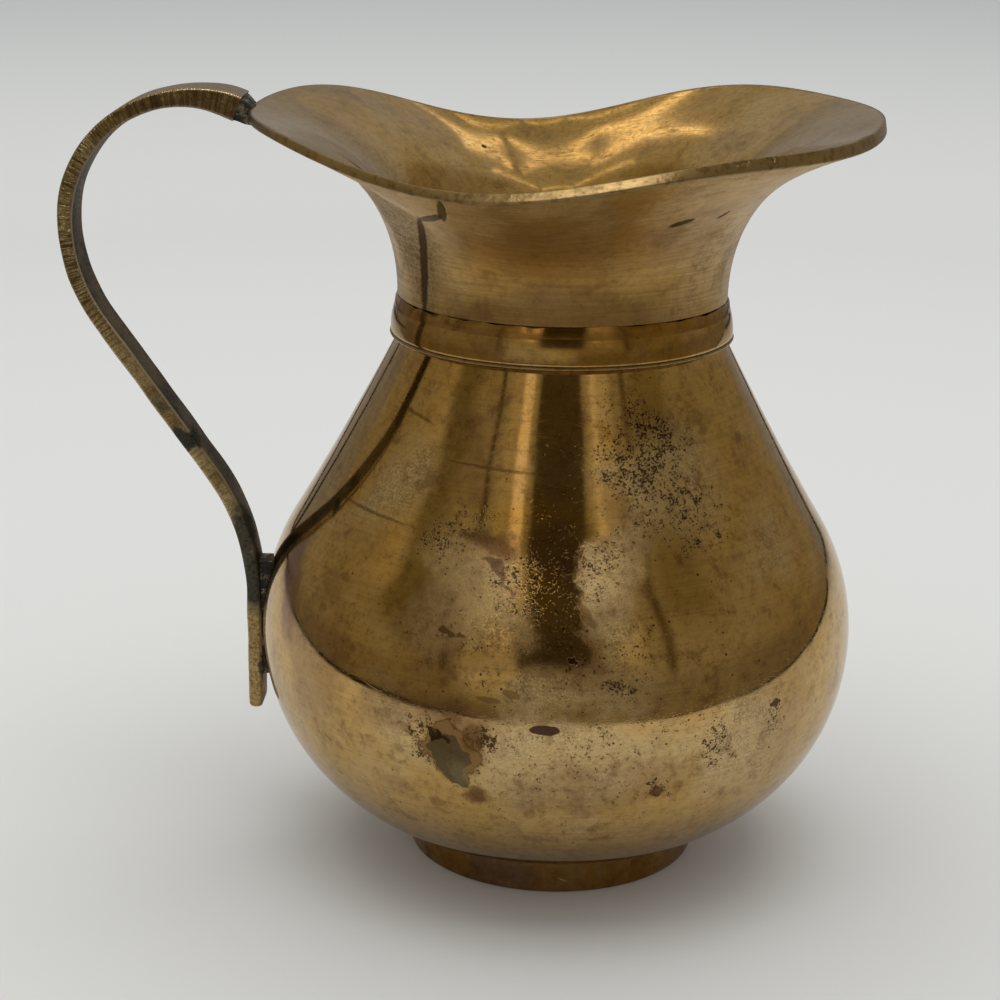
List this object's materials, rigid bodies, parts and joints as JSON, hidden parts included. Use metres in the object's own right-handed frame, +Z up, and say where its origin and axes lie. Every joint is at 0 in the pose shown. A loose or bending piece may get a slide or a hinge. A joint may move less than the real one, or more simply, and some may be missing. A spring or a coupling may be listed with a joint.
{
  "type": "creamer",
  "caption": "Small pear-shaped brass creamer on a foot ring, with a collared neck, a flared saddle mouth and a flat strap handle brazed at lip and belly.",
  "frame": {"origin": "middle of the underside of the bounding box, on the plane the foot stands on", "axes": "+X towards the spout, with the handle at -X; +Z up along the axis of the turned body; +Y to the left of the spout. The axis of the body is 13.8 mm from the origin along +X."},
  "size_m": [0.1176, 0.0914, 0.114],
  "materials": {
    "polished_brass": "turned and polished cast brass, fine scratches and casting pits",
    "worn_brass": "turned cast brass, darker with handling",
    "patinated_brass": "filed brass bar with olive and brown patina",
    "brazing_metal": "grey brazing metal with dark green tarnish"
  },
  "bodies": {
    "root": {"belly": "polished_brass", "foot_ring": "worn_brass", "neck_band": "polished_brass", "neck_braze": "worn_brass", "throat": "polished_brass", "handle": "patinated_brass", "lip_braze": "brazing_metal", "belly_braze_upper": "brazing_metal", "belly_braze_lower": "brazing_metal"}
  },
  "joints": []
}
